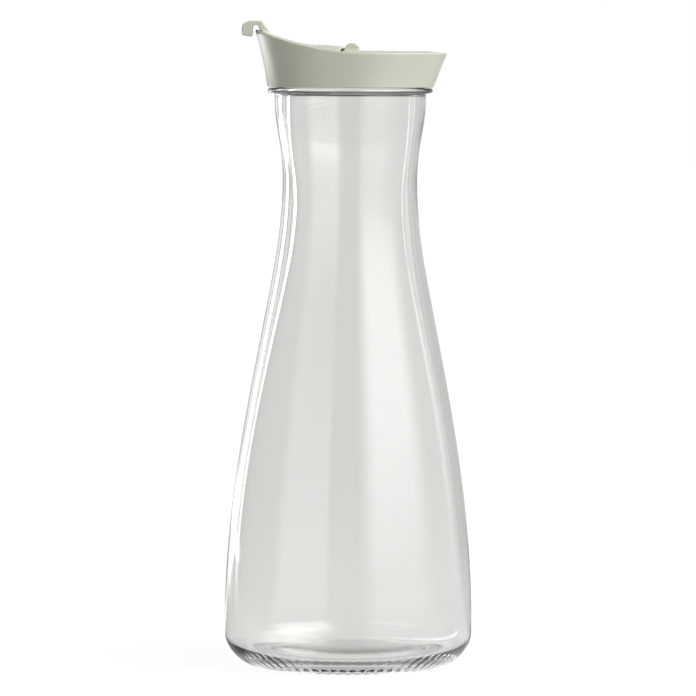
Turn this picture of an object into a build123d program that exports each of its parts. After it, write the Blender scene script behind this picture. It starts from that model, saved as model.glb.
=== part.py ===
# Glass jug with a screw-on pouring lid: a one-litre carafe with a waisted neck,
# closed by a flared lid whose rim sweeps up to a beak at the front.
# A flap hinged across the middle of the lid covers the beak and hooks over its lip.
# The origin is the centre of the foot, +Z is up and the beak points along -X.
import os
from math import cos, pi, sin, sqrt

from build123d import *

# Glass body, outside
FOOT_RADIUS = 38.0           # outer edge of the flat ring that the jug stands on
FOOT_RING_WIDTH = 5.0
PUNT_HEIGHT = 4.4            # rise of the hollow under the foot, at its middle
PUNT_EDGE_RADIUS = 25.0      # where the hollow starts to turn down to the foot
PUNT_EDGE_DROP = 0.7
HEEL_HEIGHT = 14.0           # of the rounding from the foot to the side
BODY_RADIUS = 52.0
BODY_STRAIGHT_TOP = 18.0     # the widest part ends here and the flank starts
FLANK_Z, FLANK_RADIUS = 95.0, 45.3
SHOULDER_Z, SHOULDER_RADIUS = 153.8, 34.4
WAIST_Z, WAIST_RADIUS = 198.0, 28.4
NECK_BULGE_Z, NECK_BULGE_RADIUS = 217.0, 29.1
NECK_TOP_Z, NECK_STEP = 237.5, 1.2    # the step is the neck's reach beyond the finish

# Glass walls
FLOOR_THICKNESS = 4.0
MOAT_RADIUS = 35.5           # of the deepest ring inside, over the foot
MOAT_THICKNESS = 4.2
BODY_WALL = 3.3
FLANK_WALL = 3.8
SHOULDER_WALL = 4.7
WAIST_WALL = 4.4
HEEL_INNER_HEIGHT = 9.8     # from the deepest ring up to the straight wall

# Glass finish: the ring under the lid and the screw neck above it
RING_STEP = 4.1              # reach of the ring beyond the finish
RING_BOTTOM = 240.9
RING_THICKNESS = 2.1
RING_BEVEL = 0.6             # of the ring's lower edge
RING_ROOT = 0.4              # drop of the ring's underside towards the neck
FINISH_RADIUS = 30.6
FINISH_HEIGHT = 8.5
FINISH_WALL = 3.6
MOUTH_BEVEL = 0.8

# Room for the screw thread between the neck and the insert
THREAD_HEIGHT = 0.9
THREAD_CLEARANCE = 0.5

# Seal ring between the mouth and the lid
SEAL_THICKNESS = 1.5
SEAL_LAP = 0.2               # the ring reaches this far inside the mouth's rounding
SEAL_CLEARANCE = 0.3

# Lid shell: a flared wall open at the top, drawn out to a beak at the front
LID_GAP = 0.3                # between the glass ring and the lid's lower edge
SHELL_WALL = 1.5
RIM_HEIGHT = 14.6            # from the lid's lower edge to the flat part of the rim
RIM_FLARE_BACK = 5.75        # reach of the wall beyond the skirt, at the rim's flat part
RIM_FLARE_FRONT = 2.65
RIM_FLARE_SIDE = 3.45
BEAK_FLARE_BACK = 9.85       # reach of the wall beyond the skirt, at the beak's top
BEAK_FLARE_FRONT = 5.6
BEAK_FLARE_SIDE = 7.05
SWEEP_RADIUS = 125.0         # arc by which the rim climbs to the beak
SWEEP_START_X = 8.1
BEAK_TRIM = 0.8              # cut off the beak's section by that arc, at the very front
RIM_BEVEL = 0.35

# Screw insert: the threaded cup under the lid, with the floor of the pouring channel
INSERT_WALL = 1.3
INSERT_FLOOR = 1.6
INSERT_SETBACK = 0.2         # of the insert's lower edge above the shell's
FIT_GAP = 0.05               # between moulded pieces that are snapped together
POUR_BACK_X, POUR_FRONT_X = -9.0, -23.0
POUR_HALF_WIDTH = 13.0
POUR_CORNER = 4.5

# Hinge across the middle of the lid
HINGE_X = 0.8
HINGE_HEIGHT = 15.0          # of the pin above the lid's lower edge
EAR_RADIUS = 3.5
EAR_WIDTH = 4.0
EAR_CAP = 1.0                # one ear is closed over the pin's end
BARREL_RADIUS = 3.1
BARREL_LENGTH = 12.4
PIN_RADIUS = 1.5
PIN_CLEARANCE = 0.05
PIN_END_GAP = 0.1
HINGE_SIDE_GAP = 0.3
BARREL_SWING_GAP = 0.5
ARM_THICKNESS = 2.2

# Rear cover: the fixed half of the lid's top
COVER_RISE = 0.6             # of the cover's flat above the rim
COVER_PLATE = 1.5
COVER_WALL = 1.3
COVER_FLAT_RADIUS = 31.0
COVER_SLOPE_WIDTH = 7.0
COVER_SLOPE_DROP = 0.9
COVER_CENTRE_X = 2.0
COVER_FRONT = 4.1            # reach of the cover in front of the hinge

# Flap over the beak, with the hook that laps over the beak's lip
FLAP_GAP = 0.35              # between the flap and the shell's wall
FLAP_REAR_GAP = 0.5          # between the flap and the rear cover
FLAP_PLATE = 1.6
FLAP_REAR_RADIUS = 5.0       # about the hinge's axis, of the hollow in the flap's rear edge
TAIL_RADIUS = 4.0            # the flap's skin runs on over that hollow, to the ears
TAIL_THICKNESS = 0.7
TAIL_LAP = 2.0               # reach of the tail to the sides of the ears
FLAP_LIP = 1.2               # thickness of the lip round the flap's underside
FLAP_LIP_GAP = 0.4           # between that lip and the channel's floor
FLAP_REAR_RISE = 1.9         # of the flap above the rim at its rear edge
FLAP_FRONT_RISE = 0.55       # and where it follows the rim up to the beak
FLAP_STEP_BACK_X, FLAP_STEP_FRONT_X = -7.0, -20.0
FLAP_CROWN_RADIUS = 340.0    # of the flap's top across its width
HOOK_HALF_WIDTH = 8.0
HOOK_REACH = 5.3             # of the hook in front of the beak's lip
HOOK_RISE = 3.4              # of its top above the lip
HOOK_DROP = 3.5              # of its tip below the lip
HOOK_ROOT = 7.0              # where it grows out of the plate, behind the lip
HOOK_SHOULDER = 3.0          # back end of its top, behind the lip
HOOK_SIDE_CLEARANCE = 0.8    # between the hook and the lip's outer face
HOOK_TOP_CLEARANCE = 1.7
HOOK_TIP_SLOPE = 0.8
HOOK_ROUNDING = 0.9

# Levels and radii that follow from the sizes above
RING_TOP = RING_BOTTOM + RING_THICKNESS
MOUTH_Z = RING_TOP + FINISH_HEIGHT
BODY_BORE = BODY_RADIUS - BODY_WALL
SEAL_TOP = MOUTH_Z + SEAL_THICKNESS
CHANNEL_Z = SEAL_TOP + INSERT_FLOOR
SKIRT_Z = RING_TOP + LID_GAP
RIM_Z = SKIRT_Z + RIM_HEIGHT
HINGE_Z = SKIRT_Z + HINGE_HEIGHT
NECK_RADIUS = FINISH_RADIUS + NECK_STEP
RING_RADIUS = FINISH_RADIUS + RING_STEP
MOUTH_RADIUS = FINISH_RADIUS - FINISH_WALL
INSERT_BORE = FINISH_RADIUS + THREAD_HEIGHT + THREAD_CLEARANCE
INSERT_RADIUS = INSERT_BORE + INSERT_WALL
SKIRT_RADIUS = INSERT_RADIUS + FIT_GAP + SHELL_WALL
RIM_BACK = SKIRT_RADIUS + RIM_FLARE_BACK
RIM_FRONT = SKIRT_RADIUS + RIM_FLARE_FRONT
RIM_HALF_WIDTH = SKIRT_RADIUS + RIM_FLARE_SIDE
BEAK_BACK = SKIRT_RADIUS + BEAK_FLARE_BACK
BEAK_FRONT = SKIRT_RADIUS + BEAK_FLARE_FRONT
BEAK_HALF_WIDTH = SKIRT_RADIUS + BEAK_FLARE_SIDE
SWEEP_CLIMB = SWEEP_RADIUS - sqrt(SWEEP_RADIUS**2 - (SWEEP_START_X + BEAK_FRONT) ** 2)
BEAK_Z = RIM_Z + SWEEP_CLIMB + BEAK_TRIM
COVER_TOP = RIM_Z + COVER_RISE
COVER_FRONT_X = HINGE_X - COVER_FRONT
FLAP_REAR_X = COVER_FRONT_X - FLAP_REAR_GAP
NOTCH_HALF_WIDTH = BARREL_LENGTH / 2 + HINGE_SIDE_GAP
NOTCH_BACK_X = HINGE_X + BARREL_RADIUS + BARREL_SWING_GAP
EAR_OUTER_Y = NOTCH_HALF_WIDTH + EAR_WIDTH
TAIL_HALF_WIDTH = EAR_OUTER_Y + TAIL_LAP
BORE_END_Y = EAR_CAP - EAR_OUTER_Y
REACH = 3 * BODY_RADIUS      # larger than the lid, for cutting solids


def block(x0, x1, y0, y1, z0, z1):
    """A box between two corners."""
    centre = ((x0 + x1) / 2, (y0 + y1) / 2, (z0 + z1) / 2)
    return Pos(*centre) * Box(abs(x1 - x0), abs(y1 - y0), abs(z1 - z0))


def side_face(edges):
    """A face in the XZ plane, from edges drawn as (x, z)."""
    return Plane.XZ * make_face(edges)


def cross_bar(face, half_width):
    """A face in the XZ plane carried to both sides of the jug's middle."""
    return extrude(face, half_width, both=True)


def cross_cylinder(radius, y0, y1):
    """A cylinder about the hinge's axis."""
    bar = Cylinder(radius, y1 - y0, rotation=(90, 0, 0))
    return Pos(HINGE_X, (y0 + y1) / 2, HINGE_Z) * bar


def corner(start, end, start_direction, end_direction):
    """A rounded corner of the blown glass, drawn as a free curve."""
    return Spline(start, end, tangents=[start_direction, end_direction])


def glass_jug():
    """The blown glass body: outer wall, ring, screw neck and the bore inside."""
    foot_inner = FOOT_RADIUS - FOOT_RING_WIDTH
    ring_root_z = RING_BOTTOM - RING_ROOT
    ring_lower = (RING_RADIUS - RING_BEVEL, RING_BOTTOM)
    ring_side = (RING_RADIUS, RING_BOTTOM + RING_BEVEL)
    finish_top = (FINISH_RADIUS, MOUTH_Z - MOUTH_BEVEL)
    lip_outer = (FINISH_RADIUS - MOUTH_BEVEL, MOUTH_Z)
    lip_inner = (MOUTH_RADIUS + MOUTH_BEVEL, MOUTH_Z)
    bore_top = (MOUTH_RADIUS, MOUTH_Z - MOUTH_BEVEL)
    bore_neck = (MOUTH_RADIUS, NECK_TOP_Z)
    moat = (MOAT_RADIUS, MOAT_THICKNESS)
    bore_heel = (BODY_BORE, MOAT_THICKNESS + HEEL_INNER_HEIGHT)
    punt_edge = (PUNT_EDGE_RADIUS, PUNT_HEIGHT - PUNT_EDGE_DROP)
    floor_edge = (PUNT_EDGE_RADIUS, PUNT_HEIGHT - PUNT_EDGE_DROP + FLOOR_THICKNESS)
    floor_middle = (0, PUNT_HEIGHT + FLOOR_THICKNESS)
    dome = (PUNT_EDGE_RADIUS, -PUNT_EDGE_DROP)

    outside = [
        Line((FOOT_RADIUS, 0), (foot_inner, 0)),
        Line((0, PUNT_HEIGHT), punt_edge),
        corner(punt_edge, (foot_inner, 0), dome, (1, -1)),
        corner((FOOT_RADIUS, 0), (BODY_RADIUS, HEEL_HEIGHT), (1, 0), (0, 1)),
        Line((BODY_RADIUS, HEEL_HEIGHT), (BODY_RADIUS, BODY_STRAIGHT_TOP)),
        Spline(
            (BODY_RADIUS, BODY_STRAIGHT_TOP), (FLANK_RADIUS, FLANK_Z),
            (SHOULDER_RADIUS, SHOULDER_Z), (WAIST_RADIUS, WAIST_Z),
            tangents=[(0, 1), (0, 1)],
        ),
        Spline(
            (WAIST_RADIUS, WAIST_Z), (NECK_BULGE_RADIUS, NECK_BULGE_Z), (NECK_RADIUS, NECK_TOP_Z),
            tangents=[(0, 1), (0, 1)],
        ),
        Line((NECK_RADIUS, NECK_TOP_Z), (NECK_RADIUS, ring_root_z)),
        Line((NECK_RADIUS, ring_root_z), ring_lower),
        Line(ring_lower, ring_side),
        Line(ring_side, (RING_RADIUS, RING_TOP)),
        Line((RING_RADIUS, RING_TOP), (FINISH_RADIUS, RING_TOP)),
        Line((FINISH_RADIUS, RING_TOP), finish_top),
        Line(finish_top, lip_outer),
    ]
    inside = [
        Line(lip_outer, lip_inner),
        Line(lip_inner, bore_top),
        Line(bore_top, bore_neck),
        Spline(bore_neck, (WAIST_RADIUS - WAIST_WALL, WAIST_Z), tangents=[(0, -1), (0, -1)]),
        Spline(
            (WAIST_RADIUS - WAIST_WALL, WAIST_Z), (SHOULDER_RADIUS - SHOULDER_WALL, SHOULDER_Z),
            (FLANK_RADIUS - FLANK_WALL, FLANK_Z), bore_heel,
            tangents=[(0, -1), (0, -1)],
        ),
        corner(moat, bore_heel, (1, 0), (0, 1)),
        corner(floor_edge, moat, dome, (1, 0)),
        Line(floor_middle, floor_edge),
        Line(floor_middle, (0, PUNT_HEIGHT)),
    ]
    return revolve(side_face(outside + inside), Axis.Z)


def ring_solid(inner, outer, z0, z1):
    """A flat ring about the jug's axis."""
    height = z1 - z0
    base = Pos(0, 0, (z0 + z1) / 2)
    return base * (Cylinder(outer, height) - Cylinder(inner, height))


def seal_ring():
    inner = MOUTH_RADIUS + SEAL_LAP
    return ring_solid(inner, INSERT_BORE - SEAL_CLEARANCE, MOUTH_Z, SEAL_TOP)


def lid_section(z, back, front, half_width, offset):
    """A level outline of the lid: half a circle behind and a longer half ellipse in front."""
    centre_x = back - half_width
    depth = centre_x + front - offset
    radius = half_width - offset
    rear = CenterArc((0, 0), radius, -90, 180)
    prow = EllipticalCenterArc((0, 0), depth, radius, start_angle=90, arc_size=180)
    return Pos(centre_x, 0, z) * Wire([rear.edge(), prow.edge()])


def lid_inside(offset):
    """All that lies within the lid's outer surface, set in by an offset."""
    return Solid.make_loft([
        lid_section(SKIRT_Z, SKIRT_RADIUS, SKIRT_RADIUS, SKIRT_RADIUS, offset),
        lid_section(RIM_Z, RIM_BACK, RIM_FRONT, RIM_HALF_WIDTH, offset),
        lid_section(BEAK_Z, BEAK_BACK, BEAK_FRONT, BEAK_HALF_WIDTH, offset),
    ])


def rim_line(x):
    """Height of the lid's rim at a place along the lid."""
    ahead = max(SWEEP_START_X - x, 0)
    return RIM_Z + SWEEP_RADIUS - sqrt(SWEEP_RADIUS**2 - ahead**2)


def above_rim():
    """All that lies above the rim's line in side view."""
    end_x = SWEEP_START_X - SWEEP_RADIUS / 2
    middle_x = (SWEEP_START_X + end_x) / 2
    top = BEAK_Z + REACH
    edges = [
        Line((REACH, top), (REACH, RIM_Z)),
        Line((REACH, RIM_Z), (SWEEP_START_X, RIM_Z)),
        ThreePointArc((SWEEP_START_X, RIM_Z), (middle_x, rim_line(middle_x)), (end_x, rim_line(end_x))),
        Line((end_x, rim_line(end_x)), (end_x, top)),
        Line((end_x, top), (REACH, top)),
    ]
    return cross_bar(side_face(edges), REACH)


def lid_shell():
    """The flared wall, cut off along the swept rim."""
    wall = lid_inside(0) - lid_inside(SHELL_WALL) - above_rim()
    rim = [e for e in wall.edges() if e.bounding_box().min.Z > RIM_Z - 0.01]
    return chamfer(rim, RIM_BEVEL)


def screw_insert():
    """The cup that screws onto the neck; its top is the floor of the pouring channel."""
    floor = lid_inside(SHELL_WALL + FIT_GAP)
    floor &= block(-REACH, REACH, -REACH, REACH, SEAL_TOP, CHANNEL_Z)
    skirt = ring_solid(INSERT_BORE, INSERT_RADIUS, SKIRT_Z + INSERT_SETBACK, SEAL_TOP)
    pour_length = POUR_BACK_X - POUR_FRONT_X
    outline = RectangleRounded(pour_length, 2 * POUR_HALF_WIDTH, POUR_CORNER)
    opening = extrude(Pos((POUR_BACK_X + POUR_FRONT_X) / 2, 0, SEAL_TOP) * outline, INSERT_FLOOR)
    return floor + skirt - opening


def cover_top_form(drop):
    """The space under the rear cover's top surface, lowered by a drop."""
    edge_radius = COVER_FLAT_RADIUS + COVER_SLOPE_WIDTH
    top = COVER_TOP - drop
    edges = [
        Line((0, CHANNEL_Z), (edge_radius, CHANNEL_Z)),
        Line((edge_radius, CHANNEL_Z), (edge_radius, top - COVER_SLOPE_DROP)),
        Line((edge_radius, top - COVER_SLOPE_DROP), (COVER_FLAT_RADIUS, top)),
        Line((COVER_FLAT_RADIUS, top), (0, top)),
        Line((0, top), (0, CHANNEL_Z)),
    ]
    return Pos(COVER_CENTRE_X, 0, 0) * revolve(side_face(edges), Axis.Z)


def rear_cover():
    """The fixed half of the lid's top, with the ears that hold the hinge pin."""
    behind = block(COVER_FRONT_X, REACH, -REACH, REACH, CHANNEL_Z, BEAK_Z)
    body = lid_inside(SHELL_WALL + FIT_GAP) & cover_top_form(0) & behind
    notch_wall = NOTCH_HALF_WIDTH + COVER_WALL
    pocket = block(COVER_FRONT_X, NOTCH_BACK_X + COVER_WALL, -notch_wall, notch_wall, CHANNEL_Z, BEAK_Z)
    hollow_front_x = COVER_FRONT_X + COVER_WALL
    hollow = block(hollow_front_x, REACH, -REACH, REACH, CHANNEL_Z, BEAK_Z) - pocket
    hollow = lid_inside(SHELL_WALL + FIT_GAP + COVER_WALL) & cover_top_form(COVER_PLATE) & hollow
    ears = cross_cylinder(EAR_RADIUS, -EAR_OUTER_Y, EAR_OUTER_Y)
    notch = block(
        COVER_FRONT_X, NOTCH_BACK_X, -NOTCH_HALF_WIDTH, NOTCH_HALF_WIDTH, CHANNEL_Z, HINGE_Z + EAR_RADIUS
    )
    bore = cross_cylinder(PIN_RADIUS + PIN_CLEARANCE, BORE_END_Y, EAR_OUTER_Y)
    return body - hollow + ears - notch - bore


def hinge_pin():
    """The pin, put in through the open ear."""
    return cross_cylinder(PIN_RADIUS, BORE_END_Y + PIN_END_GAP, EAR_OUTER_Y)


def flap_level(x, y):
    """Height of the flap's top surface."""
    way = (x - FLAP_STEP_FRONT_X) / (FLAP_STEP_BACK_X - FLAP_STEP_FRONT_X)
    way = min(max(way, 0), 1)
    step = (1 - cos(pi * way)) / 2
    rise = FLAP_FRONT_RISE + (FLAP_REAR_RISE - FLAP_FRONT_RISE) * step
    return rim_line(x) + rise - y**2 / (2 * FLAP_CROWN_RADIUS)


def flap_sheet(drop, thickness):
    """A sheet under the flap's crowned top, from a drop below it and that thick."""
    front_x = -BEAK_BACK
    steps = 12
    rows = []
    for i in range(steps + 1):
        x = HINGE_X + (front_x - HINGE_X) * i / steps
        spread = [BEAK_BACK * (2 * j / steps - 1) for j in range(steps + 1)]
        rows.append([Vector(x, y, flap_level(x, y) - drop) for y in spread])
    return Solid.extrude(Face.make_surface_from_array_of_points(rows), Vector(0, 0, -thickness))


def rear_hollow():
    """The room behind the flap, apart from what its tail takes up."""
    behind = block(FLAP_REAR_X, REACH, -REACH, REACH, CHANNEL_Z, BEAK_Z)
    behind += cross_cylinder(FLAP_REAR_RADIUS, -REACH, REACH)
    skin = flap_sheet(-TAIL_LAP, TAIL_LAP + TAIL_THICKNESS)
    tail = skin & block(-REACH, REACH, -TAIL_HALF_WIDTH, TAIL_HALF_WIDTH, CHANNEL_Z, BEAK_Z)
    return behind - (tail - cross_cylinder(TAIL_RADIUS, -REACH, REACH))


def hook():
    """The front end of the flap, which laps over the lip of the beak."""
    lip_x = -BEAK_FRONT + (BEAK_FRONT - RIM_FRONT) * (BEAK_Z - rim_line(-BEAK_FRONT)) / (BEAK_Z - RIM_Z)
    lip_z = rim_line(lip_x)
    root_x = lip_x + HOOK_ROOT
    root_z = flap_level(root_x, 0)
    front_x = lip_x - HOOK_REACH
    inner_x = lip_x - HOOK_SIDE_CLEARANCE
    arch_x = lip_x + SHELL_WALL + FLAP_GAP
    arch_end = (arch_x, flap_level(arch_x, 0))
    tip_z = lip_z - HOOK_DROP
    shoulder = (lip_x + HOOK_SHOULDER, lip_z + HOOK_RISE)
    crest = (lip_x, lip_z + HOOK_RISE)
    front_tip = (front_x, tip_z + HOOK_TIP_SLOPE)
    inner_tip = (inner_x, tip_z)
    arch_top = ((inner_x + arch_x) / 2, lip_z + HOOK_TOP_CLEARANCE)
    outline = make_face([
        Line((root_x, root_z), shoulder),
        Line(shoulder, crest),
        corner(crest, (front_x, lip_z), (-1, 0), (0, -1)),
        Line((front_x, lip_z), front_tip),
        Line(front_tip, inner_tip),
        Line(inner_tip, (inner_x, lip_z)),
        ThreePointArc((inner_x, lip_z), arch_top, arch_end),
        Line(arch_end, (root_x, root_z - FLAP_PLATE)),
        Line((root_x, root_z - FLAP_PLATE), (root_x, root_z)),
    ])
    rounded = [outline.vertices().sort_by_distance((x, z, 0))[0] for x, z in (shoulder, front_tip, inner_tip)]
    return cross_bar(Plane.XZ * fillet(rounded, HOOK_ROUNDING), HOOK_HALF_WIDTH)


def flap():
    """The pour flap: a crowned plate with a lip round its underside, a barrel and a hook."""
    fit = lid_inside(SHELL_WALL + FLAP_GAP)
    plate = flap_sheet(0, FLAP_PLATE) & fit
    below = flap_sheet(FLAP_PLATE / 2, BEAK_Z - CHANNEL_Z) & fit
    below &= block(-REACH, REACH, -REACH, REACH, CHANNEL_Z + FLAP_LIP_GAP, BEAK_Z)
    rear_wall_x = HINGE_X - FLAP_REAR_RADIUS - FLAP_LIP
    inner = lid_inside(SHELL_WALL + FLAP_GAP + FLAP_LIP)
    inner &= block(-REACH, rear_wall_x, -REACH, REACH, CHANNEL_Z, BEAK_Z)
    arm = block(
        rear_wall_x, HINGE_X, -BARREL_LENGTH / 2, BARREL_LENGTH / 2,
        HINGE_Z - ARM_THICKNESS / 2, HINGE_Z + ARM_THICKNESS / 2,
    )
    barrel = cross_cylinder(BARREL_RADIUS, -BARREL_LENGTH / 2, BARREL_LENGTH / 2)
    bore = cross_cylinder(PIN_RADIUS + PIN_CLEARANCE, -BARREL_LENGTH / 2, BARREL_LENGTH / 2)
    return plate + (below - inner) - rear_hollow() + hook() + arm + barrel - bore


PARTS = {
    "glass_jug": glass_jug,
    "seal_ring": seal_ring,
    "screw_insert": screw_insert,
    "lid_shell": lid_shell,
    "rear_cover": rear_cover,
    "hinge_pin": hinge_pin,
    "flap": flap,
}

os.makedirs("parts", exist_ok=True)
for name, build in PARTS.items():
    export_step(build(), f"parts/{name}.step")
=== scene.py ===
from math import cos, pi, radians, sin, sqrt

import bmesh
import bpy
from mathutils import Matrix, Vector


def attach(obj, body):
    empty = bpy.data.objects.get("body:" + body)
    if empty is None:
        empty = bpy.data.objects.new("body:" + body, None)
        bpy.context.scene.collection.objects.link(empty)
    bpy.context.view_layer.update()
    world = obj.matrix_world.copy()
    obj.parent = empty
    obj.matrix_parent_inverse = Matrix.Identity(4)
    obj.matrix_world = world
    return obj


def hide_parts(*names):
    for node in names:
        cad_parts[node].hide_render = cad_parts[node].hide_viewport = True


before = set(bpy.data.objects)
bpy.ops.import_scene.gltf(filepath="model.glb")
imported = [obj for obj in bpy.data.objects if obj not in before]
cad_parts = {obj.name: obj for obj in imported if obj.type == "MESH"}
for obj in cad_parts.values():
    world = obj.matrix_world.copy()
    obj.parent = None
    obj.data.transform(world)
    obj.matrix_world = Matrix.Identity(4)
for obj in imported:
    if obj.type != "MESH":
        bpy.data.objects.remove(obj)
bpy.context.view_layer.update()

scene = bpy.context.scene
MM = 0.001
DEGREE = pi / 180


# Helpers for meshes, whose lengths are in millimetres

def mesh_piece(name, verts, faces, body, material, smooth=True):
    mesh = bpy.data.meshes.new(name)
    mesh.from_pydata([tuple(c * MM for c in v) for v in verts], [], faces)
    mesh.validate()
    mesh.update()
    for poly in mesh.polygons:
        poly.use_smooth = smooth
    mesh.materials.append(material)
    piece = bpy.data.objects.new(name, mesh)
    scene.collection.objects.link(piece)
    if body:
        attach(piece, body)
    return piece


def grid_faces(rows, columns, wrap_rows=False):
    """Quads between rows of points that close on themselves; the last row may join the first."""
    faces = []
    for i in range(rows if wrap_rows else rows - 1):
        for j in range(columns):
            a = i * columns + j
            b = i * columns + (j + 1) % columns
            c = ((i + 1) % rows) * columns + (j + 1) % columns
            d = ((i + 1) % rows) * columns + j
            faces.append((a, b, c, d))
    return faces


def around(count):
    """Evenly spaced angles round a circle, from +X towards +Y."""
    return [2 * pi * j / count for j in range(count)]


def arc(centre, radius, start, end, count):
    """Points on an arc between two angles in degrees."""
    angles = [radians(start + (end - start) * i / count) for i in range(count + 1)]
    return [(centre[0] + radius * cos(a), centre[1] + radius * sin(a)) for a in angles]


def spline_slopes(t, values, first, last):
    """The slopes of a cubic spline at its points, with the first and last slope given."""
    n = len(values)
    a = [[0.0] * n for _ in range(n)]
    rhs = [0.0] * n
    a[0][0] = a[n - 1][n - 1] = 1.0
    rhs[0], rhs[n - 1] = first, last
    for i in range(1, n - 1):
        before, after = t[i] - t[i - 1], t[i + 1] - t[i]
        a[i][i - 1], a[i][i], a[i][i + 1] = after, 2 * (before + after), before
        behind, ahead = values[i] - values[i - 1], values[i + 1] - values[i]
        rhs[i] = 3 * (before * ahead / after + after * behind / before)
    for i in range(1, n):
        factor = a[i][i - 1] / a[i - 1][i - 1]
        for j in range(i - 1, min(i + 2, n)):
            a[i][j] -= factor * a[i - 1][j]
        rhs[i] -= factor * rhs[i - 1]
    slopes = [0.0] * n
    for i in reversed(range(n)):
        known = a[i][i + 1] * slopes[i + 1] if i < n - 1 else 0.0
        slopes[i] = (rhs[i] - known) / a[i][i]
    return slopes


def spline(points, start, end, count):
    """A smooth curve through points, in count steps, by chord length, with given end directions."""
    t = [0.0]
    for p, q in zip(points, points[1:]):
        t.append(t[-1] + sqrt((q[0] - p[0]) ** 2 + (q[1] - p[1]) ** 2))
    slopes = [spline_slopes(t, [p[k] for p in points], start[k], end[k]) for k in (0, 1)]
    out = []
    for s in range(count + 1):
        u = t[-1] * s / count
        i = max(j for j in range(len(points) - 1) if t[j] <= u + 1e-9)
        h = t[i + 1] - t[i]
        w = (u - t[i]) / h
        h00 = 2 * w**3 - 3 * w**2 + 1
        h10 = w**3 - 2 * w**2 + w
        h01 = -2 * w**3 + 3 * w**2
        h11 = w**3 - w**2
        out.append(tuple(
            h00 * points[i][k] + h10 * h * slopes[k][i] + h01 * points[i + 1][k] + h11 * h * slopes[k][i + 1]
            for k in (0, 1)
        ))
    return out


# Helpers for nodes; each returns the socket that carries its result

def node_material(name):
    material = bpy.data.materials.new(name)
    material.use_nodes = True
    nodes = material.node_tree.nodes
    links = material.node_tree.links
    return material, nodes, links, nodes["Principled BSDF"]


def noise(nodes, links, scale, detail=2.0, rough=0.5):
    coords = nodes.new("ShaderNodeTexCoord")
    texture = nodes.new("ShaderNodeTexNoise")
    texture.inputs["Scale"].default_value = scale
    texture.inputs["Detail"].default_value = detail
    texture.inputs["Roughness"].default_value = rough
    links.new(coords.outputs["Object"], texture.inputs["Vector"])
    return texture.outputs["Fac"]


def ramp(nodes, links, source, low, high, colours):
    node = nodes.new("ShaderNodeValToRGB")
    for stop, position, colour in zip(node.color_ramp.elements, (low, high), colours):
        stop.position = position
        stop.color = (*colour, 1)
    links.new(source, node.inputs["Fac"])
    return node.outputs["Color"]


def to_range(nodes, links, source, low, high):
    node = nodes.new("ShaderNodeMapRange")
    node.inputs["To Min"].default_value = low
    node.inputs["To Max"].default_value = high
    links.new(source, node.inputs["Value"])
    return node.outputs["Result"]


def bump(nodes, links, height, strength, distance, shader):
    node = nodes.new("ShaderNodeBump")
    node.inputs["Strength"].default_value = strength
    node.inputs["Distance"].default_value = distance
    links.new(height, node.inputs["Height"])
    links.new(node.outputs["Normal"], shader.inputs["Normal"])


def calc(nodes, links, operation, *values):
    """A sum on numbers or sockets."""
    node = nodes.new("ShaderNodeMath")
    node.operation = operation
    for socket, value in zip(node.inputs, values):
        if isinstance(value, (int, float)):
            socket.default_value = value
        else:
            links.new(value, socket)
    return node.outputs[0]


def length(nodes, links, vector):
    node = nodes.new("ShaderNodeVectorMath")
    node.operation = "LENGTH"
    links.new(vector, node.inputs[0])
    return node.outputs["Value"]


def ease(nodes, links, value, start, end, low=0.0, high=1.0):
    """A smooth step from low to high as the value goes from start to end."""
    node = nodes.new("ShaderNodeMapRange")
    node.interpolation_type = "SMOOTHSTEP"
    for name, number in (("From Min", start), ("From Max", end), ("To Min", low), ("To Max", high)):
        node.inputs[name].default_value = number
    links.new(value, node.inputs["Value"])
    return node.outputs["Result"]


def blend(nodes, links, share, low, high):
    """Low where the share is 0 and high where it is 1; either may be a number or a socket."""
    step = calc(nodes, links, "SUBTRACT", high, low)
    return calc(nodes, links, "ADD", low, calc(nodes, links, "MULTIPLY", share, step))


# Materials, whose lengths are in metres

SAGE, SAGE_CLOUDS = (0.535, 0.555, 0.455), 0.975
GLASS_TINT = ((0.955, 0.959, 0.943), (0.961, 0.964, 0.949))
GLASS_BODY, GLASS_DENSITY = (0.79, 0.835, 0.78), 24.0
# the stippled underside of the glass: the height and the radius over which it fades out
PUNT_ROUGHNESS = 0.35
STIPPLE_TOP, STIPPLE_EDGE = (0.0044, 0.0048), (0.0325, 0.034)
SILICONE = ((0.70, 0.73, 0.68), (0.76, 0.79, 0.74))
STEEL = ((0.52, 0.52, 0.51), (0.62, 0.62, 0.61))
DRAWN_LINES = (3000.0, 90.0, 3000.0)


def plastic(name, colour):
    """Satin moulded plastic: faint clouding of the colour and a fine spark-eroded grain."""
    material, nodes, links, shader = node_material(name)
    clouds = noise(nodes, links, scale=60.0, detail=3.0)
    darker = tuple(c * SAGE_CLOUDS for c in colour)
    tone = ramp(nodes, links, clouds, 0.35, 0.65, (darker, colour))
    links.new(tone, shader.inputs["Base Color"])
    grain = noise(nodes, links, scale=2600.0, rough=0.6)
    links.new(to_range(nodes, links, grain, 0.26, 0.36), shader.inputs["Roughness"])
    bump(nodes, links, grain, 0.08, 0.00008, shader)
    shader.inputs["IOR"].default_value = 1.48
    shader.inputs["Subsurface Weight"].default_value = 0.12
    shader.inputs["Subsurface Scale"].default_value = 0.0015
    return material


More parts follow.
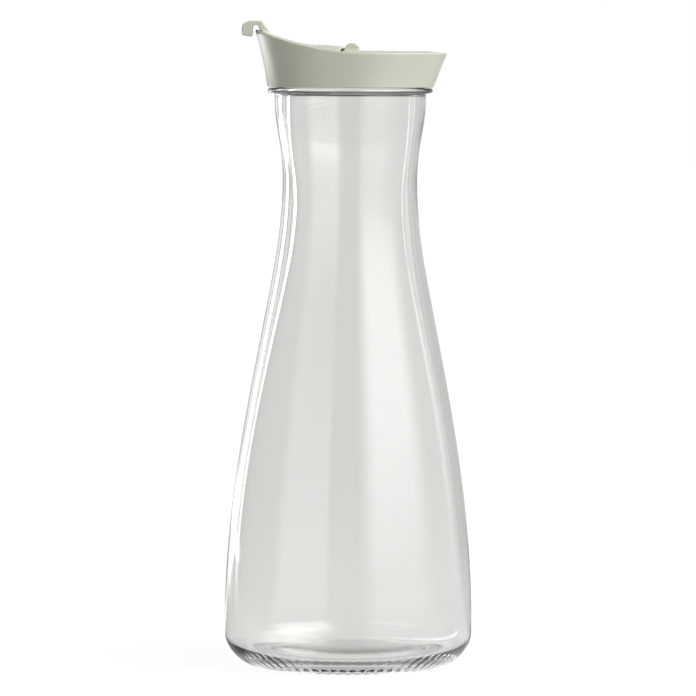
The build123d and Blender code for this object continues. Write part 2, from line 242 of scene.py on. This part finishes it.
def glass(name):
    """Clear soda-lime glass, a trace of green where thick, waved from blowing, stippled under the foot."""
    material, nodes, links, shader = node_material(name)
    waves = noise(nodes, links, scale=28.0, detail=1.0)
    links.new(ramp(nodes, links, waves, 0.3, 0.7, GLASS_TINT), shader.inputs["Base Color"])
    shader.inputs["Transmission Weight"].default_value = 1.0
    shader.inputs["IOR"].default_value = 1.5
    polish = to_range(nodes, links, noise(nodes, links, scale=420.0), 0.0, 0.02)
    place = nodes.new("ShaderNodeTexCoord")
    split = nodes.new("ShaderNodeSeparateXYZ")
    links.new(place.outputs["Object"], split.inputs["Vector"])
    flat = nodes.new("ShaderNodeVectorMath")
    flat.operation = "MULTIPLY"
    flat.inputs[1].default_value = (1, 1, 0)
    links.new(place.outputs["Object"], flat.inputs[0])
    radius = length(nodes, links, flat.outputs["Vector"])
    low = ease(nodes, links, split.outputs["Z"], *STIPPLE_TOP, 1.0, 0.0)
    hollow = ease(nodes, links, radius, *STIPPLE_EDGE, PUNT_ROUGHNESS, 0.0)
    stipple = calc(nodes, links, "MULTIPLY", low, hollow)
    links.new(calc(nodes, links, "MAXIMUM", polish, stipple), shader.inputs["Roughness"])
    bump(nodes, links, waves, 0.25, 0.0006, shader)
    body = nodes.new("ShaderNodeVolumeAbsorption")
    body.inputs["Color"].default_value = (*GLASS_BODY, 1)
    body.inputs["Density"].default_value = GLASS_DENSITY
    links.new(body.outputs["Volume"], nodes["Material Output"].inputs["Volume"])
    return material


def silicone(name):
    """Matt silicone rubber with a bloom of dust."""
    material, nodes, links, shader = node_material(name)
    dust = noise(nodes, links, scale=700.0, detail=3.0)
    links.new(ramp(nodes, links, dust, 0.3, 0.7, SILICONE), shader.inputs["Base Color"])
    links.new(to_range(nodes, links, dust, 0.45, 0.6), shader.inputs["Roughness"])
    bump(nodes, links, dust, 0.1, 0.0001, shader)
    shader.inputs["Subsurface Weight"].default_value = 0.3
    shader.inputs["Subsurface Scale"].default_value = 0.001
    return material


def drawn_steel(name):
    """Steel wire with the fine lines of its drawing along it."""
    material, nodes, links, shader = node_material(name)
    coords = nodes.new("ShaderNodeTexCoord")
    stretch = nodes.new("ShaderNodeMapping")
    stretch.inputs["Scale"].default_value = DRAWN_LINES
    links.new(coords.outputs["Object"], stretch.inputs["Vector"])
    texture = nodes.new("ShaderNodeTexNoise")
    texture.inputs["Scale"].default_value = 1.0
    links.new(stretch.outputs["Vector"], texture.inputs["Vector"])
    lines = texture.outputs["Fac"]
    links.new(ramp(nodes, links, lines, 0.3, 0.7, STEEL), shader.inputs["Base Color"])
    links.new(to_range(nodes, links, lines, 0.22, 0.38), shader.inputs["Roughness"])
    bump(nodes, links, lines, 0.1, 0.00003, shader)
    shader.inputs["Metallic"].default_value = 1.0
    return material


lid_plastic = plastic("lid_plastic", SAGE)
clear_glass = glass("clear_glass")
seal_silicone = silicone("seal_silicone")
pin_steel = drawn_steel("pin_steel")


# Sizes that the scene shares with the solids, in millimetres; pairs are (radius, height)

FOOT_R, FOOT_RING = 38.0, 5.0
PUNT_Z, PUNT_EDGE = 4.4, (25.0, 3.7)
BODY_R, HEEL_H, STRAIGHT_Z = 52.0, 14.0, 18.0
NECK_R, NECK_Z = 31.8, 237.5
RING_Z0, RING_Z1, RING_R = 240.9, 243.0, 34.7
FINISH_R, MOUTH_R, MOUTH_Z = 30.6, 27.0, 251.5
INSIDE_R = 48.7
FLOOR_Z, FLOOR_EDGE, MOAT = 8.4, (25.0, 7.7), (35.5, 4.2)
WAIST = ((45.3, 95.0), (34.4, 153.8), (28.4, 198.0), (29.1, 217.0))
WAIST_INSIDE = ((24.0, 198.0), (29.7, 153.8), (41.5, 95.0))
SKIRT_Z, SKIRT_R, WALL = 243.3, 34.85, 1.5
RIM_Z, BEAK_Z = 257.9, 268.51
SWEEP_R, SWEEP_X = 125.0, 8.1
INSERT_BORE = 32.0
LEAD = 6.0


# The glass: one closed skin, turned, with short ribs round the foot

OUT, IN, UP, DOWN = (1, 0), (-1, 0), (0, 1), (0, -1)
PUNT_SLOPE, FOOT_SLOPE, FLOOR_SLOPE = (1, -0.12), (1, -0.8), (-1, 0.12)
FOOT_FLATS = (FOOT_R - FOOT_RING + 0.5, FOOT_R - 2.5, FOOT_R - 1.0)
UNDER_RING = ((NECK_R, 239.6), (31.85, 240.3), (32.1, 240.7), (32.7, RING_Z0))
RING_ROUND = 1.05
OVER_RING = ((31.3, RING_Z1), (30.75, 243.15), (FINISH_R, 243.5))
FINISH_HEIGHTS, MOUTH_HEIGHTS = (245.0, 248.0, 250.4), (246.0, 241.0)
LIP_ROUND = 1.0
RIBS, RIB_TOP, RIB_DEPTH = 60, 1.8, 0.22
RIB_FADE_UP, RIB_START, RIB_FADE_IN = 0.7, FOOT_R - FOOT_RING + 0.6, 1.2
RIB_LEAN = 0.6
GLASS_COLUMNS = 7 * RIBS


def glass_profile():
    """Points from the middle of the foot, up the outside, over the lip and down inside."""
    ring_middle = (RING_Z0 + RING_Z1) / 2
    pts = []
    pts += spline([(0.0, PUNT_Z), PUNT_EDGE], OUT, PUNT_SLOPE, 8)
    pts += spline([PUNT_EDGE, (FOOT_R - FOOT_RING, 0.05)], PUNT_SLOPE, FOOT_SLOPE, 10)[1:]
    pts += [(r, 0.0) for r in FOOT_FLATS]
    pts += spline([(FOOT_R, 0.0), (BODY_R, HEEL_H)], OUT, UP, 22)
    pts += [(BODY_R, (HEEL_H + STRAIGHT_Z) / 2)]
    pts += spline([(BODY_R, STRAIGHT_Z), *WAIST, (NECK_R, NECK_Z)], UP, UP, 56)
    pts += UNDER_RING
    pts += arc((RING_R - RING_ROUND, ring_middle), RING_ROUND, -90, 90, 12)
    pts += OVER_RING
    pts += [(FINISH_R, z) for z in FINISH_HEIGHTS]
    pts += arc((FINISH_R - LIP_ROUND, MOUTH_Z - LIP_ROUND), LIP_ROUND, 15, 90, 4)
    pts += arc((MOUTH_R + LIP_ROUND, MOUTH_Z - LIP_ROUND), LIP_ROUND, 90, 180, 5)
    pts += [(MOUTH_R, z) for z in MOUTH_HEIGHTS]
    pts += spline([(MOUTH_R, NECK_Z), *WAIST_INSIDE, (INSIDE_R, HEEL_H)], DOWN, DOWN, 56)
    pts += spline([(INSIDE_R, HEEL_H), MOAT], DOWN, IN, 18)[1:]
    pts += spline([MOAT, FLOOR_EDGE], IN, FLOOR_SLOPE, 10)[1:]
    pts += spline([FLOOR_EDGE, (0.0, FLOOR_Z)], FLOOR_SLOPE, IN, 8)[1:]
    return pts


def clamp(value):
    return min(max(value, 0.0), 1.0)


def rib_depth(r, z, turn):
    """How far the glass is pressed in between the ribs of the foot."""
    fade_up = clamp((RIB_TOP - z) / RIB_FADE_UP)
    fade_in = clamp((r - RIB_START) / RIB_FADE_IN)
    wave = (1 - cos(RIBS * turn)) / 2
    return RIB_DEPTH * fade_up * fade_in * wave


def glass_mesh():
    """Rings of points along the profile, closed at both ends by a fan round a middle point."""
    profile = glass_profile()
    rings = profile[1:-1]
    verts = [(0.0, 0.0, profile[0][1])]
    for r, z in rings:
        for turn in around(GLASS_COLUMNS):
            depth = rib_depth(r, z, turn)
            reach = r - depth * RIB_LEAN
            verts.append((reach * cos(turn), reach * sin(turn), z + depth))
    verts.append((0.0, 0.0, profile[-1][1]))
    faces = [tuple(f + 1 for f in face) for face in grid_faces(len(rings), GLASS_COLUMNS)]
    last = len(verts) - 1
    base = last - GLASS_COLUMNS
    for j in range(GLASS_COLUMNS):
        k = (j + 1) % GLASS_COLUMNS
        faces.append((0, 1 + j, 1 + k))
        faces.append((last, base + k, base + j))
    return verts, faces


verts, faces = glass_mesh()
jug = mesh_piece("jug_glass", verts, faces, "jug", clear_glass)
bm = bmesh.new()
bm.from_mesh(jug.data)
bmesh.ops.recalc_face_normals(bm, faces=bm.faces)
bm.to_mesh(jug.data)
bm.free()
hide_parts("glass_jug")


# Lid shell: the same sections as the solid, with a rounded rim and a rounded lower edge

# height, then how far the wall reaches back, to the front and to either side
SECTIONS = (
    (SKIRT_Z, SKIRT_R, SKIRT_R, SKIRT_R),
    (RIM_Z, SKIRT_R + 5.75, SKIRT_R + 2.65, SKIRT_R + 3.45),
    (BEAK_Z, SKIRT_R + 9.85, SKIRT_R + 5.6, SKIRT_R + 7.05),
)
SHELL_COLUMNS = 240
SHELL_RISE = (0.0, 0.015, 0.05, 0.12, 0.22, 0.34, 0.46, 0.58, 0.7, 0.82, 0.92, 0.97, 1.0)
RIM_ROUND, RIM_STEPS = 0.62, 7
LOWER_ROUND = 0.25
# points round the lower edge: how far in from the outside, and how far down
LOWER_EDGE = ((WALL - 0.2, 0.2), (WALL / 2, LOWER_ROUND), (0.2, 0.2))


def section_at(z):
    """Back, front and half width of the lid's outer wall at a height, on a curve through the sections."""
    z0, z1, z2 = (s[0] for s in SECTIONS)
    w0 = (z - z1) * (z - z2) / ((z0 - z1) * (z0 - z2))
    w1 = (z - z0) * (z - z2) / ((z1 - z0) * (z1 - z2))
    w2 = (z - z0) * (z - z1) / ((z2 - z0) * (z2 - z1))
    return tuple(w0 * SECTIONS[0][k] + w1 * SECTIONS[1][k] + w2 * SECTIONS[2][k] for k in (1, 2, 3))


def wall_point(z, turn, offset):
    """Where the wall is at a height and a turn, at an offset in from its outside."""
    back, front, half_width = section_at(z)
    centre = back - half_width
    radius = half_width - offset
    depth = radius if cos(turn) > 0 else centre + front - offset
    return centre + depth * cos(turn), radius * sin(turn)


def rim_line(x):
    """The swept line of the rim, seen from the side."""
    ahead = max(SWEEP_X - x, 0.0)
    return RIM_Z + SWEEP_R - sqrt(SWEEP_R**2 - ahead**2)


def rim_height(turn):
    """The rim's height where the wall meets its swept line, found by repetition."""
    z = RIM_Z
    for _ in range(12):
        z = rim_line(wall_point(z, turn, WALL / 2)[0])
    return z


def shell_mesh():
    turns = around(SHELL_COLUMNS)
    tops = [rim_height(turn) for turn in turns]
    z_low = SKIRT_Z + LOWER_ROUND
    verts = []

    def ring(heights, offset):
        for turn, z in zip(turns, heights):
            x, y = wall_point(z, turn, offset)
            verts.append((x, y, z))

    def part_way(f):
        return [z_low + (top - RIM_ROUND - z_low) * f for top in tops]

    # up the outside, over the rim, down the inside and round the lower edge
    for f in SHELL_RISE:
        ring(part_way(f), 0.0)
    for i in range(1, RIM_STEPS):
        a = pi * i / RIM_STEPS
        ring([top - RIM_ROUND * (1 - sin(a)) for top in tops], WALL / 2 - (WALL / 2) * cos(a))
    for f in reversed(SHELL_RISE):
        ring(part_way(f), WALL)
    for offset, drop in LOWER_EDGE:
        ring([z_low - drop] * SHELL_COLUMNS, offset)
    return verts, grid_faces(len(verts) // SHELL_COLUMNS, SHELL_COLUMNS, wrap_rows=True)


verts, faces = shell_mesh()
shell = mesh_piece("lid_wall", verts, faces, "lid", lid_plastic)
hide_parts("lid_shell")


# Cover and flap: the solids' own forms with their edges softened as moulded plastic is

VOXEL = 0.4
SMOOTH_FACTOR, SMOOTH_ROUNDS = 0.5, 3


def softened(node, name, body):
    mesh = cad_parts[node].data.copy()
    piece = bpy.data.objects.new(name, mesh)
    scene.collection.objects.link(piece)
    remesh = piece.modifiers.new("remesh", "REMESH")
    remesh.mode = "VOXEL"
    remesh.voxel_size = VOXEL * MM
    remesh.use_smooth_shade = True
    smooth = piece.modifiers.new("smooth", "SMOOTH")
    smooth.factor = SMOOTH_FACTOR
    smooth.iterations = SMOOTH_ROUNDS
    depsgraph = bpy.context.evaluated_depsgraph_get()
    done = bpy.data.meshes.new_from_object(piece.evaluated_get(depsgraph))
    piece.modifiers.clear()
    piece.data = done
    bpy.data.meshes.remove(mesh)
    done.name = name
    done.materials.clear()
    done.materials.append(lid_plastic)
    for poly in done.polygons:
        poly.use_smooth = True
    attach(piece, body)
    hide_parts(node)


softened("rear_cover", "lid_rear_cover", "lid")
softened("flap", "pour_flap", "flap")


# Screw threads on the neck and in the insert

STARTS, THREAD_TURN, THREAD_STEPS, THREAD_FADE = 2, radians(200), 150, 8
THREAD_Z, THREAD_RISE, THREAD_SINK = 245.0, 0.85, 0.25
CREST_SHARE = 0.45


def thread(name, root, crest, middle_z, half_height, body, material):
    """Ridges that climb by the lead each turn; each fades out at its ends."""
    sink = root + (THREAD_SINK if crest < root else -THREAD_SINK)
    verts, faces = [], []
    for start in range(STARTS):
        base = len(verts)
        for i in range(THREAD_STEPS + 1):
            turn = THREAD_TURN * i / THREAD_STEPS
            angle = turn + 2 * pi * start / STARTS
            z = middle_z + LEAD * turn / (2 * pi)
            fade = min(1.0, i / THREAD_FADE, (THREAD_STEPS - i) / THREAD_FADE)
            top = root + (crest - root) * fade
            section = (
                (sink, -half_height), (root, -half_height), (top, -half_height * CREST_SHARE),
                (top, half_height * CREST_SHARE), (root, half_height), (sink, half_height),
            )
            for r, dz in section:
                verts.append((r * cos(angle), r * sin(angle), z + dz))
        sides = len(section)
        for i in range(THREAD_STEPS):
            for j in range(sides):
                a = base + i * sides + j
                b = base + i * sides + (j + 1) % sides
                faces.append((a, b, b + sides, a + sides))
        faces.append(tuple(base + j for j in range(sides)))
        faces.append(tuple(base + THREAD_STEPS * sides + j for j in reversed(range(sides))))
    return mesh_piece(name, verts, faces, body, material)


neck_thread = thread(
    "jug_thread", FINISH_R, FINISH_R + THREAD_RISE, THREAD_Z, 0.75, "jug", clear_glass)
lid_thread = thread(
    "lid_thread", INSERT_BORE, INSERT_BORE - THREAD_RISE, THREAD_Z + LEAD / 4, 0.6, "lid", lid_plastic)


# The solids that show as they are

for node, material in (("screw_insert", lid_plastic), ("seal_ring", seal_silicone), ("hinge_pin", pin_steel)):
    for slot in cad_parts[node].material_slots:
        slot.material = material


# Studio: a grey tent with soft panels, drawn by direction in the world's light. Azimuths are counted
# from the camera's side towards +X.

TENT, TENT_IN_GLOSS, TENT_THROUGH_GLASS = 0.10, 0.42, 0.60
# the backdrop behind the object, and the half angles in degrees over which it fades in
BACKDROP, BACKDROP_EDGE = 0.75, (22, 15)
WORLD_SEEN = 1.0
PANELS = (
    # strength through glass and otherwise; azimuths and then elevations in degrees, each as start,
    # end, and the softness of start and end
    (3.5, 3.5, (20, 82, 24, 26), (4, 62, 36, 16)),
    (0.42, 0.42, (82, 132, 20, 10), (-10, 60, 14, 20)),
    (3.9, 3.9, (52, 120, 24, 30), (36, 66, 16, 16)),
    (1.0, 1.0, (-72, -20, 12, 6), (-4, 20, 14, 14)),
    (3.0, 1.0, (-158, -148, 3, 6), (-30, 60, 20, 20)),
    (0.06, 0.06, (136, 160, 8, 8), (-30, 40, 20, 20)),
)


def window(nodes, links, value, start, end, start_softness, end_softness):
    """One where an angle lies between two angles in degrees, with soft ends."""
    half = start_softness * DEGREE / 2
    opens = ease(nodes, links, value, start * DEGREE - half, start * DEGREE + half)
    half = end_softness * DEGREE / 2
    closes = ease(nodes, links, value, end * DEGREE - half, end * DEGREE + half, 1.0, 0.0)
    return calc(nodes, links, "MULTIPLY", opens, closes)


def at_horizon(start, end, start_softness, end_softness):
    """The same window's value at an angle of nothing."""
    steps = [clamp(0.5 - edge / softness) for edge, softness in ((start, start_softness), (end, end_softness))]
    opened, closed = (x * x * (3 - 2 * x) for x in steps)
    return opened * (1 - closed)


def panels(nodes, links, path, turn, rise=None):
    """The panels' light from a direction, or from the horizon where no rise is given."""
    total = None
    for through, otherwise, turns, rises in PANELS:
        share = window(nodes, links, turn, *turns)
        height = at_horizon(*rises) if rise is None else window(nodes, links, rise, *rises)
        share = calc(nodes, links, "MULTIPLY", share, height)
        strength = blend(nodes, links, path.outputs["Is Transmission Ray"], otherwise, through)
        part = calc(nodes, links, "MULTIPLY", share, strength)
        total = part if total is None else calc(nodes, links, "ADD", total, part)
    return total


def azimuth(nodes, links, east, north):
    return calc(nodes, links, "ARCTAN2", east, calc(nodes, links, "MULTIPLY", north, -1.0))


def tent(nodes, links, path, north):
    """The tent's own light: the backdrop towards +Y, and dark all round."""
    dark = blend(nodes, links, path.outputs["Is Glossy Ray"], TENT, TENT_IN_GLOSS)
    dark = blend(nodes, links, path.outputs["Is Transmission Ray"], dark, TENT_THROUGH_GLASS)
    behind = ease(nodes, links, north, *(cos(angle * DEGREE) for angle in BACKDROP_EDGE))
    return blend(nodes, links, behind, dark, BACKDROP)


def studio_world():
    world = bpy.data.worlds.new("studio")
    world.use_nodes = True
    nodes, links = world.node_tree.nodes, world.node_tree.links
    background = nodes["Background"]
    background.inputs["Color"].default_value = (1, 1, 1, 1)
    coords = nodes.new("ShaderNodeTexCoord")
    split = nodes.new("ShaderNodeSeparateXYZ")
    links.new(coords.outputs["Generated"], split.inputs["Vector"])
    east, north, up = split.outputs
    path = nodes.new("ShaderNodeLightPath")
    rise = calc(nodes, links, "ARCSINE", up)
    light = panels(nodes, links, path, azimuth(nodes, links, east, north), rise)
    level = calc(nodes, links, "ADD", tent(nodes, links, path, north), light)
    seen = blend(nodes, links, path.outputs["Is Camera Ray"], level, WORLD_SEEN)
    links.new(seen, background.inputs["Strength"])
    return world


scene.world = studio_world()


# Floor: white to the camera, with the object's shadow; grey to the glass; and far off the same light
# as the world has at its horizon, so that no edge shows in the glass. Distances are in metres.

FLOOR_SEEN, FLOOR_THROUGH_GLASS, FLOOR_IN_GLOSS = 1.09, 0.80, 0.40
FLOOR_PAPER = ((0.61, 0.61, 0.61), (0.63, 0.63, 0.63))
FLOOR_TO_HORIZON = (0.2, 1.2)
# the floor's share of light under the foot, a painted shadow seen through the glass: a painted contact shadow,
# a painted bright caustic line and the heel's painted shadow; radius in millimetres and share, over a span
PAINTED_CONTACT_SHADOW = ((35, 1.0), (36, 0.6), (38.3, 0.6), (39.3, 1.0), (40.4, 0.3), (42.2, 0.25), (43.2, 1.0))
CONTACT_SPAN = 100
# a painted pool of light: a bright glowing patch of floor behind to the left, shown only in reflections, seen
# in the lid's left edge
PAINTED_LIGHT_PATCH, PATCH_TURNS = 4.6, (-160, -126, 4, 10)
PATCH_STARTS, PATCH_ENDS = (1.0, 1.4), (1.5, 3.0)
SHADOW_SHARE, SHADOW_FADE = 0.14, (0.15, 0.6)
FLOOR_Z0 = -0.02
FLOOR_RINGS = (80, 200, 500, 1200, 3000, 8000)
FLOOR_SIDES = 48


def floor_strength(nodes, links, path, place, away):
    """How strongly the floor glows, by the kind of ray that sees it."""
    split = nodes.new("ShaderNodeSeparateXYZ")
    links.new(place, split.inputs["Vector"])
    east, north, _ = split.outputs
    turn = azimuth(nodes, links, east, north)
    light = panels(nodes, links, path, turn)
    north = calc(nodes, links, "DIVIDE", north, away)
    horizon = calc(nodes, links, "ADD", tent(nodes, links, path, north), light)
    # painted light on the floor: in reflections it glows brighter in the panels' directions, as if lit by
    # them, over an even glow
    painted_light_in_gloss = calc(nodes, links, "ADD", light, FLOOR_IN_GLOSS)
    # painted shadow and caustic line under the foot, for rays that have come through the glass
    painted_shadow_ramp = nodes.new("ShaderNodeValToRGB")
    stops = painted_shadow_ramp.color_ramp.elements
    stops[1].position = 1.0
    for reach, shade in PAINTED_CONTACT_SHADOW:
        stops.new(reach / CONTACT_SPAN).color = (shade, shade, shade, 1)
    stops[0].color = stops[-1].color = (1, 1, 1, 1)
    links.new(calc(nodes, links, "MULTIPLY", away, 1 / (CONTACT_SPAN * MM)), painted_shadow_ramp.inputs["Fac"])
    through_glass_painted_shadow = calc(nodes, links, "MULTIPLY", painted_shadow_ramp.outputs["Color"], FLOOR_THROUGH_GLASS)
    strength = blend(nodes, links, path.outputs["Is Transmission Ray"], painted_light_in_gloss, through_glass_painted_shadow)
    distant = ease(nodes, links, away, *FLOOR_TO_HORIZON)
    strength = blend(nodes, links, distant, strength, horizon)
    # painted pool of light on the floor, for reflections only
    painted_light_patch = ease(nodes, links, away, *PATCH_STARTS, 0.0, PAINTED_LIGHT_PATCH)
    painted_light_patch = calc(nodes, links, "MULTIPLY", painted_light_patch, ease(nodes, links, away, *PATCH_ENDS, 1.0, 0.0))
    painted_light_patch = calc(nodes, links, "MULTIPLY", painted_light_patch, window(nodes, links, turn, *PATCH_TURNS))
    painted_light_patch = blend(nodes, links, path.outputs["Is Transmission Ray"], painted_light_patch, 0.0)
    strength = calc(nodes, links, "ADD", strength, painted_light_patch)
    return blend(nodes, links, path.outputs["Is Camera Ray"], strength, FLOOR_SEEN)


def studio_floor():
    """White paper that takes the shadow, mixed with a glow."""
    material, nodes, links, shader = node_material("studio_floor")
    shader.inputs["Roughness"].default_value = 0.9
    shader.inputs["Specular IOR Level"].default_value = 0.0
    paper = noise(nodes, links, scale=3.0)
    links.new(ramp(nodes, links, paper, 0.3, 0.7, FLOOR_PAPER), shader.inputs["Base Color"])
    path = nodes.new("ShaderNodeLightPath")
    place = nodes.new("ShaderNodeTexCoord").outputs["Object"]
    away = length(nodes, links, place)
    glow = nodes.new("ShaderNodeEmission")
    links.new(floor_strength(nodes, links, path, place, away), glow.inputs["Strength"])
    clear = ease(nodes, links, away, *SHADOW_FADE, 1.0 - SHADOW_SHARE, 1.0)
    sight = calc(nodes, links, "MULTIPLY", path.outputs["Is Camera Ray"], clear)
    mix = nodes.new("ShaderNodeMixShader")
    links.new(calc(nodes, links, "MAXIMUM", sight, path.outputs["Is Glossy Ray"]), mix.inputs["Fac"])
    links.new(shader.outputs["BSDF"], mix.inputs[1])
    links.new(glow.outputs["Emission"], mix.inputs[2])
    links.new(mix.outputs["Shader"], nodes["Material Output"].inputs["Surface"])
    return material


verts = [(0.0, 0.0, FLOOR_Z0)]
for radius in FLOOR_RINGS:
    verts += [(x, y, FLOOR_Z0) for x, y in arc((0.0, 0.0), radius, 0, 360, FLOOR_SIDES)[:-1]]
faces = [(0, 1 + j, 1 + (j + 1) % FLOOR_SIDES) for j in range(FLOOR_SIDES)]
faces += [tuple(i + 1 for i in reversed(f)) for f in grid_faces(len(FLOOR_RINGS), FLOOR_SIDES)]
floor = mesh_piece("floor", verts, faces, None, studio_floor(), smooth=False)


# One soft lamp almost overhead, a little to the camera's side

FILL_TARGET, FILL_RISE, FILL_DISTANCE = Vector((0.0, 0.0, 0.14)), radians(80), 1.8
FILL_SIZE, FILL_POWER = 1.6, 2.2

fill = bpy.data.lights.new("top_fill", "AREA")
fill.shape = "RECTANGLE"
fill.size = fill.size_y = FILL_SIZE
fill.energy = FILL_POWER
holder = bpy.data.objects.new("top_fill", fill)
holder.location = FILL_TARGET + FILL_DISTANCE * Vector((0.0, -cos(FILL_RISE), sin(FILL_RISE)))
holder.rotation_euler = (holder.location - FILL_TARGET).to_track_quat("Z", "Y").to_euler()
scene.collection.objects.link(holder)


# Camera: the photograph's distance, height and lean

STATION, LOOK = Vector((-0.0005, -2.34, 0.268)), Vector((-0.0005, 0.0, 0.1337))
LEAN = radians(0.25)
camera_data = bpy.data.cameras.new("camera")
camera_data.sensor_width = 36.0
camera_data.lens = 288.2
camera_data.clip_end = 50.0
camera = bpy.data.objects.new("camera", camera_data)
aim = (LOOK - STATION).to_track_quat("-Z", "Y").to_matrix().to_4x4()
camera.matrix_world = Matrix.Translation(STATION) @ aim @ Matrix.Rotation(LEAN, 4, "Z")
scene.collection.objects.link(camera)
scene.camera = camera

scene.view_settings.view_transform = "Standard"
